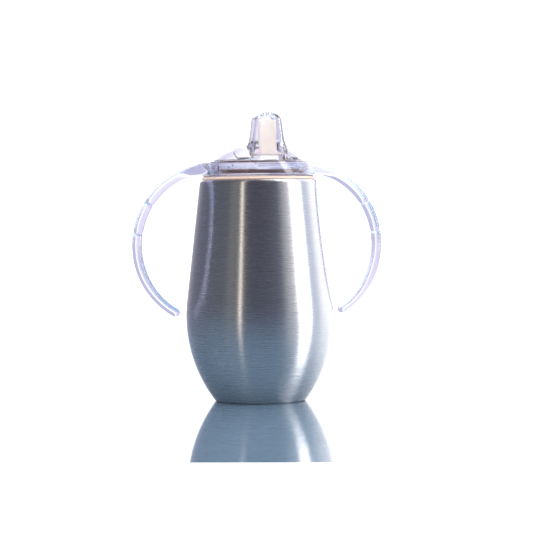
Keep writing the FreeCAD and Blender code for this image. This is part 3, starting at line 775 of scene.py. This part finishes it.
def makeMilkValve():
    foot = valveLow.z
    flangeTopHeight = foot + valve["flange"]
    widthThere, depthThere = spoutSize(flangeTopHeight)
    trim = 2 * spout["wall"] + 2 * valve["gap"]
    column = spout["tipWidth"] - 2 * spout["wall"] - 2 * valve["clear"]
    columnDepth = spout["tipDepth"] - 2 * spout["wall"] - 2 * valve["clear"]
    base = {"corner": valve["corner"], "cuts": 6, "y": -spout["forward"]}
    flange = dict(base, width=widthThere - trim, depth=depthThere - trim, rim=valve["soft"],
                  levels=2, foot=foot)
    body = dict(base, width=column, depth=columnDepth, rim=valve["rim"], levels=14,
                foot=foot + valve["flange"] / 2)
    bore = dict(base, width=column - 2 * valve["wall"], depth=columnDepth - 2 * valve["wall"],
                rim=valve["soft"], levels=6, foot=foot - toolReach, corner=valve["corner"] - valve["wall"])
    slit = dict(base, width=valve["slitLength"], depth=valve["slitWidth"], corner=valve["slitWidth"] / 3,
                rim=valve["slitWidth"] / 6, levels=1, foot=valveHigh.z - 2 * valve["wall"])
    piece = toObject(cappedColumn(flange, lambda x, y: flangeTopHeight), "milkValve")
    carve(piece, "UNION", [cappedColumn(body, lambda x, y: valveHigh.z)])
    carve(piece, "DIFFERENCE", [cappedColumn(bore, lambda x, y: valveHigh.z - valve["wall"]),
                                cappedColumn(slit, lambda x, y: valveHigh.z + toolReach)])
    cleanUp(piece)
    material = milkySilicone("valveSilicone", (0.97, 0.92, 0.87), (0.94, 0.87, 0.81), 0.5, 0.6)
    finishPiece(piece, "valve", material, ["spout_valve"])


makeMilkValve()


# ---- lock ring with its two handles

bar = {
    "arc": 0.0397,
    "tipGap": 0.0046,
    "end": 60.0,              # degrees below level
    "rootRise": 0.0038,
    "thickness": 0.0052,
    "depth": 0.0076,
    "rootThickness": 0.0065,
    "rootDepth": 0.012,
    "rootFade": 26.0,
    "tipFade": 45.0,
    "tipRadius": 0.0023,
    "grooves": (33.0, 9.5),   # degrees above level
    "grooveDepth": 0.0004,
    "grooveWidth": 1.1,       # degrees
    "rings": 150,
    "tipRings": 8,
    "sides": 40,
}


def fade(share):
    share = min(max(share, 0.0), 1.0)
    return share * share * (3 - 2 * share)


def barForm(side):
    centre = bellyRadius + bar["tipGap"] + bar["tipRadius"] - bar["arc"] * math.cos(math.radians(bar["end"]))
    start = math.degrees(math.acos((ringTopRadius - ring["wall"] / 2 - centre) / bar["arc"]))
    middleHeight = ringFoot + bar["rootRise"] - bar["arc"] * math.sin(math.radians(start))
    form = bmesh.new()
    bmesh.ops.create_circle(form, cap_ends=True, segments=bar["sides"], radius=1)
    unit = [vert.co.copy() for vert in form.verts]

    def ringPlaces(angle, shrink, push):
        root = fade((angle - start + bar["rootFade"]) / bar["rootFade"])
        tip = fade((bar["tipFade"] - bar["end"] - angle) / bar["tipFade"])
        thickness = bar["thickness"] + (bar["rootThickness"] - bar["thickness"]) * root
        thickness += (2 * bar["tipRadius"] - bar["thickness"]) * tip
        depth = bar["depth"] + (bar["rootDepth"] - bar["depth"]) * root
        depth += (2 * bar["tipRadius"] - bar["depth"]) * tip
        cut = sum(math.exp(-((angle - groove) / bar["grooveWidth"]) ** 2) for groove in bar["grooves"])
        turn = math.radians(angle)
        out = Vector((side * math.cos(turn), 0, math.sin(turn)))
        along = Vector((side * math.sin(turn), 0, -math.cos(turn)))
        middle = Vector((side * centre, 0, middleHeight)) + out * bar["arc"] + along * push
        across = (thickness / 2 - bar["grooveDepth"] * cut) * shrink
        deep = (depth / 2 - bar["grooveDepth"] * cut) * shrink
        return [middle + out * flat.x * across + Vector((0, flat.y * deep, 0)) for flat in unit]

    sweep = start + bar["end"]
    rings = [(start - sweep * step / bar["rings"], 1.0, 0.0) for step in range(bar["rings"] + 1)]
    for step in range(1, bar["tipRings"] + 1):  # round end
        turn = math.pi / 2 * step / bar["tipRings"]
        rings.append((-bar["end"], math.cos(turn), math.sin(turn) * bar["tipRadius"]))
    current = list(form.verts)
    edges = list(form.edges)
    for vert, place in zip(current, ringPlaces(*rings[0])):
        vert.co = place
    for entry in rings[1:]:
        made = bmesh.ops.extrude_edge_only(form, edges=edges)["geom"]
        edges = [item for item in made if isinstance(item, bmesh.types.BMEdge)]
        fresh = {item for item in made if isinstance(item, bmesh.types.BMVert)}
        current = [next(edge.other_vert(vert) for edge in vert.link_edges if edge.other_vert(vert) in fresh)
                   for vert in current]
        for vert, place in zip(current, ringPlaces(*entry)):
            vert.co = place
    bmesh.ops.remove_doubles(form, verts=form.verts, dist=1e-6)
    bmesh.ops.recalc_face_normals(form, faces=form.faces)
    return form


def ringOutside():
    soft = ring["edgeRound"]
    corners = [(0, ringFoot, 0), (ringFootRadius, ringFoot, soft),
               (ringTopRadius, ringTop, soft), (0, ringTop, 0)]
    return spunForm(roundedOutline(corners, 6), ring["steps"], closed=False)


def ringHollow():
    lip = ringTop - ring["lip"]
    low, high = ringFoot - toolReach, ringTop + toolReach
    soft = ring["innerRound"]
    corners = [(0, low, 0), (ringBore, low, 0), (ringBore, shelfTop, soft),
               (ringInside(shelfTop), shelfTop, soft), (ringInside(lip), lip, soft),
               (ringBore, lip, soft), (ringBore, high, 0), (0, high, 0)]
    return spunForm(roundedOutline(corners, 4), ring["steps"], closed=False)


def makeHandleRing():
    piece = toObject(ringOutside(), "handleRing")
    carve(piece, "UNION", [barForm(-1), barForm(1)])
    notches = []
    for index in range(lid["lugs"]):
        heading = front + 360 / lid["lugs"] * (index + 0.5)
        notches.append(sectorForm(ringBore - 2 * toolReach, lugRadius + ring["boreGap"],
                                  ringFoot - lid["ringGap"], shelfTop + lid["ringGap"], heading,
                                  lid["lugSpan"] + ring["notchPlay"], ring["notchRound"]))
    carve(piece, "DIFFERENCE", [ringHollow(), *notches])
    cleanUp(piece)
    material = clearPlastic("clearHandles", (0.9, 0.893, 0.965), 0.02)
    finishPiece(piece, "handles", material, ["handle_ring"], 25)


makeHandleRing()
print("lid and handles done")


# ---- studio

studio = {
    "floorTone": (0.125, 0.19, 0.265),
    "paintedLightTone": (0.42, 0.49, 0.55),    # painted light: the floor grows paler towards the right, as if lit more brightly there
    "paintedLightFrom": 0.0,
    "paintedLightTo": 0.14,
    "floorFront": 0.268,      # from the cup's axis towards the camera
    "floorTurn": -22.0,       # degrees, so that its front edge runs level in the main view
    "floorWidth": 3.0,
    "floorBack": 6.0,
    "white": 1.6,
    "whiteInside": 4.0,       # for matt surfaces that stand inside clear ones
    "bands": (                # degrees from the camera round to the right, and the tone seen there
        (-180, (2.2, 2.2, 2.2)),
        (-166, (2.0, 2.0, 2.0)),
        (-160, (0.5, 0.48, 0.58)),
        (-130, (0.2, 0.19, 0.25)),
        (-92, (0.13, 0.13, 0.155)),
        (-60, (0.14, 0.14, 0.155)),
        (-50, (0.25, 0.24, 0.235)),
        (-34, (0.2, 0.19, 0.18)),
        (-31.5, (2.6, 2.35, 2.0)),
        (-30, (2.6, 2.35, 2.0)),
        (-28.5, (0.12, 0.115, 0.125)),
        (-18, (0.09, 0.083, 0.11)),
        (26, (0.09, 0.085, 0.115)),
        (38, (0.06, 0.066, 0.12)),
        (46, (0.34, 0.33, 0.35)),
        (64, (0.4, 0.4, 0.42)),
        (71, (9.5, 9.5, 9.5)),
        (82, (9.5, 9.5, 9.5)),
        (90, (0.75, 0.85, 1.0)),
        (104, (0.8, 0.87, 1.0)),
        (118, (1.6, 1.6, 1.65)),
        (150, (1.9, 1.9, 1.95)),
        (180, (2.2, 2.2, 2.2)),
    ),
    "seenThrough": (          # the same, for light that has passed through a clear part
        (-180, (1.35, 1.35, 1.35)),
        (-178.0, (1.35, 1.35, 1.35)),
        (-172, (0.98, 0.95, 1.1)),
        (-150, (0.86, 0.82, 1.0)),
        (-128, (0.5, 0.47, 0.62)),
        (-80, (0.32, 0.3, 0.4)),
        (-40, (0.38, 0.35, 0.5)),
        (30, (0.42, 0.39, 0.56)),
        (70, (0.8, 0.78, 0.9)),
        (110, (0.66, 0.66, 0.86)),
        (140, (0.72, 0.72, 0.9)),
        (168, (0.6, 0.6, 0.8)),
        (177.6, (0.6, 0.6, 0.82)),
        (178.2, (1.35, 1.35, 1.35)),
        (180, (1.35, 1.35, 1.35)),
    ),
}


def makeFloor():
    form = bmesh.new()
    bmesh.ops.create_grid(form, x_segments=8, y_segments=8, size=1)
    deep = studio["floorBack"] + studio["floorFront"]
    bmesh.ops.scale(form, vec=(studio["floorWidth"], deep / 2, 1), verts=form.verts)
    bmesh.ops.translate(form, vec=(0, deep / 2 - studio["floorFront"], 0), verts=form.verts)
    turn = Matrix.Rotation(math.radians(studio["floorTurn"]), 3, "Z")
    bmesh.ops.rotate(form, cent=(0, 0, 0), matrix=turn, verts=form.verts)
    floor = toObject(form, "floor")
    material, tree, shader = newMaterial("floorWithPaintedLight")
    place = addNode(tree, "ShaderNodeSeparateXYZ", {"Vector": objectPattern(tree, (1, 1, 1))})
    # painted light: the floor's colour grows paler from the cup's axis towards the right
    reach = {"Value": place.outputs["X"], "From Min": studio["paintedLightFrom"], "From Max": studio["paintedLightTo"]}
    side = addNode(tree, "ShaderNodeMapRange", reach, interpolation_type="SMOOTHSTEP")
    colour = blendOf(tree, side.outputs[0], studio["floorTone"], studio["paintedLightTone"])
    tree.links.new(colour, shader.inputs["Base Color"])
    shader.inputs["Roughness"].default_value = 0.04
    shader.inputs["IOR"].default_value = 1.5
    floor.data.materials.append(material)


def bandRamp(tree, level, bands):
    ramp = addNode(tree, "ShaderNodeValToRGB", {"Fac": level})
    while len(ramp.color_ramp.elements) < len(bands):
        ramp.color_ramp.elements.new(0.5)
    for element, (degrees, tone) in zip(ramp.color_ramp.elements, bands):
        element.position = (degrees + 180) / 360
        element.color = (*tone, 1)
    return ramp.outputs[0]


def makeWorld():
    # white to the camera and to matt surfaces, while gloss and clear plastic see cards and soft boxes
    world = bpy.data.worlds.new("studio")
    scene.world = world
    world.use_nodes = True
    tree = world.node_tree
    background = tree.nodes["Background"]
    around = addNode(tree, "ShaderNodeVectorRotate",
                     {"Vector": addNode(tree, "ShaderNodeTexCoord").outputs["Generated"],
                      "Angle": -math.radians(viewpoint["azimuth"])}, rotation_type="Z_AXIS")
    split = addNode(tree, "ShaderNodeSeparateXYZ", {"Vector": around.outputs[0]})
    backwards = addNode(tree, "ShaderNodeMath", {0: split.outputs["Y"], 1: -1.0}, operation="MULTIPLY")
    turned = addNode(tree, "ShaderNodeMath", {0: split.outputs["X"], 1: backwards.outputs[0]},
                     operation="ARCTAN2")
    level = addNode(tree, "ShaderNodeMapRange", {"Value": turned.outputs[0], "From Min": -math.pi,
                                                  "From Max": math.pi, "To Min": 0.0, "To Max": 1.0})
    glossTones = bandRamp(tree, level.outputs[0], studio["bands"])
    clearTones = bandRamp(tree, level.outputs[0], studio["seenThrough"])
    path = addNode(tree, "ShaderNodeLightPath")
    plain = addNode(tree, "ShaderNodeMath",
                    {0: path.outputs["Is Camera Ray"], 1: path.outputs["Diffuse Depth"]},
                    operation="MAXIMUM", use_clamp=True)
    through = addNode(tree, "ShaderNodeMath", {0: path.outputs["Transmission Depth"], 1: 0.0},
                      operation="ADD", use_clamp=True)
    veil = addNode(tree, "ShaderNodeMix", data_type="RGBA")
    tree.links.new(through.outputs[0], veil.inputs[0])
    tree.links.new(glossTones, veil.inputs[6])
    tree.links.new(clearTones, veil.inputs[7])
    whites = [(studio[key],) * 3 for key in ("white", "whiteInside")]
    plainTone = blendOf(tree, through.outputs[0], *whites)
    mix = addNode(tree, "ShaderNodeMix", data_type="RGBA")
    tree.links.new(plain.outputs[0], mix.inputs[0])
    tree.links.new(veil.outputs[2], mix.inputs[6])
    tree.links.new(plainTone, mix.inputs[7])
    tree.links.new(mix.outputs[2], background.inputs["Color"])


makeFloor()
makeWorld()
scene.view_settings.view_transform = "Standard"
scene.cycles.max_bounces = 24
scene.cycles.transmission_bounces = 24
scene.cycles.glossy_bounces = 24
print("studio done")
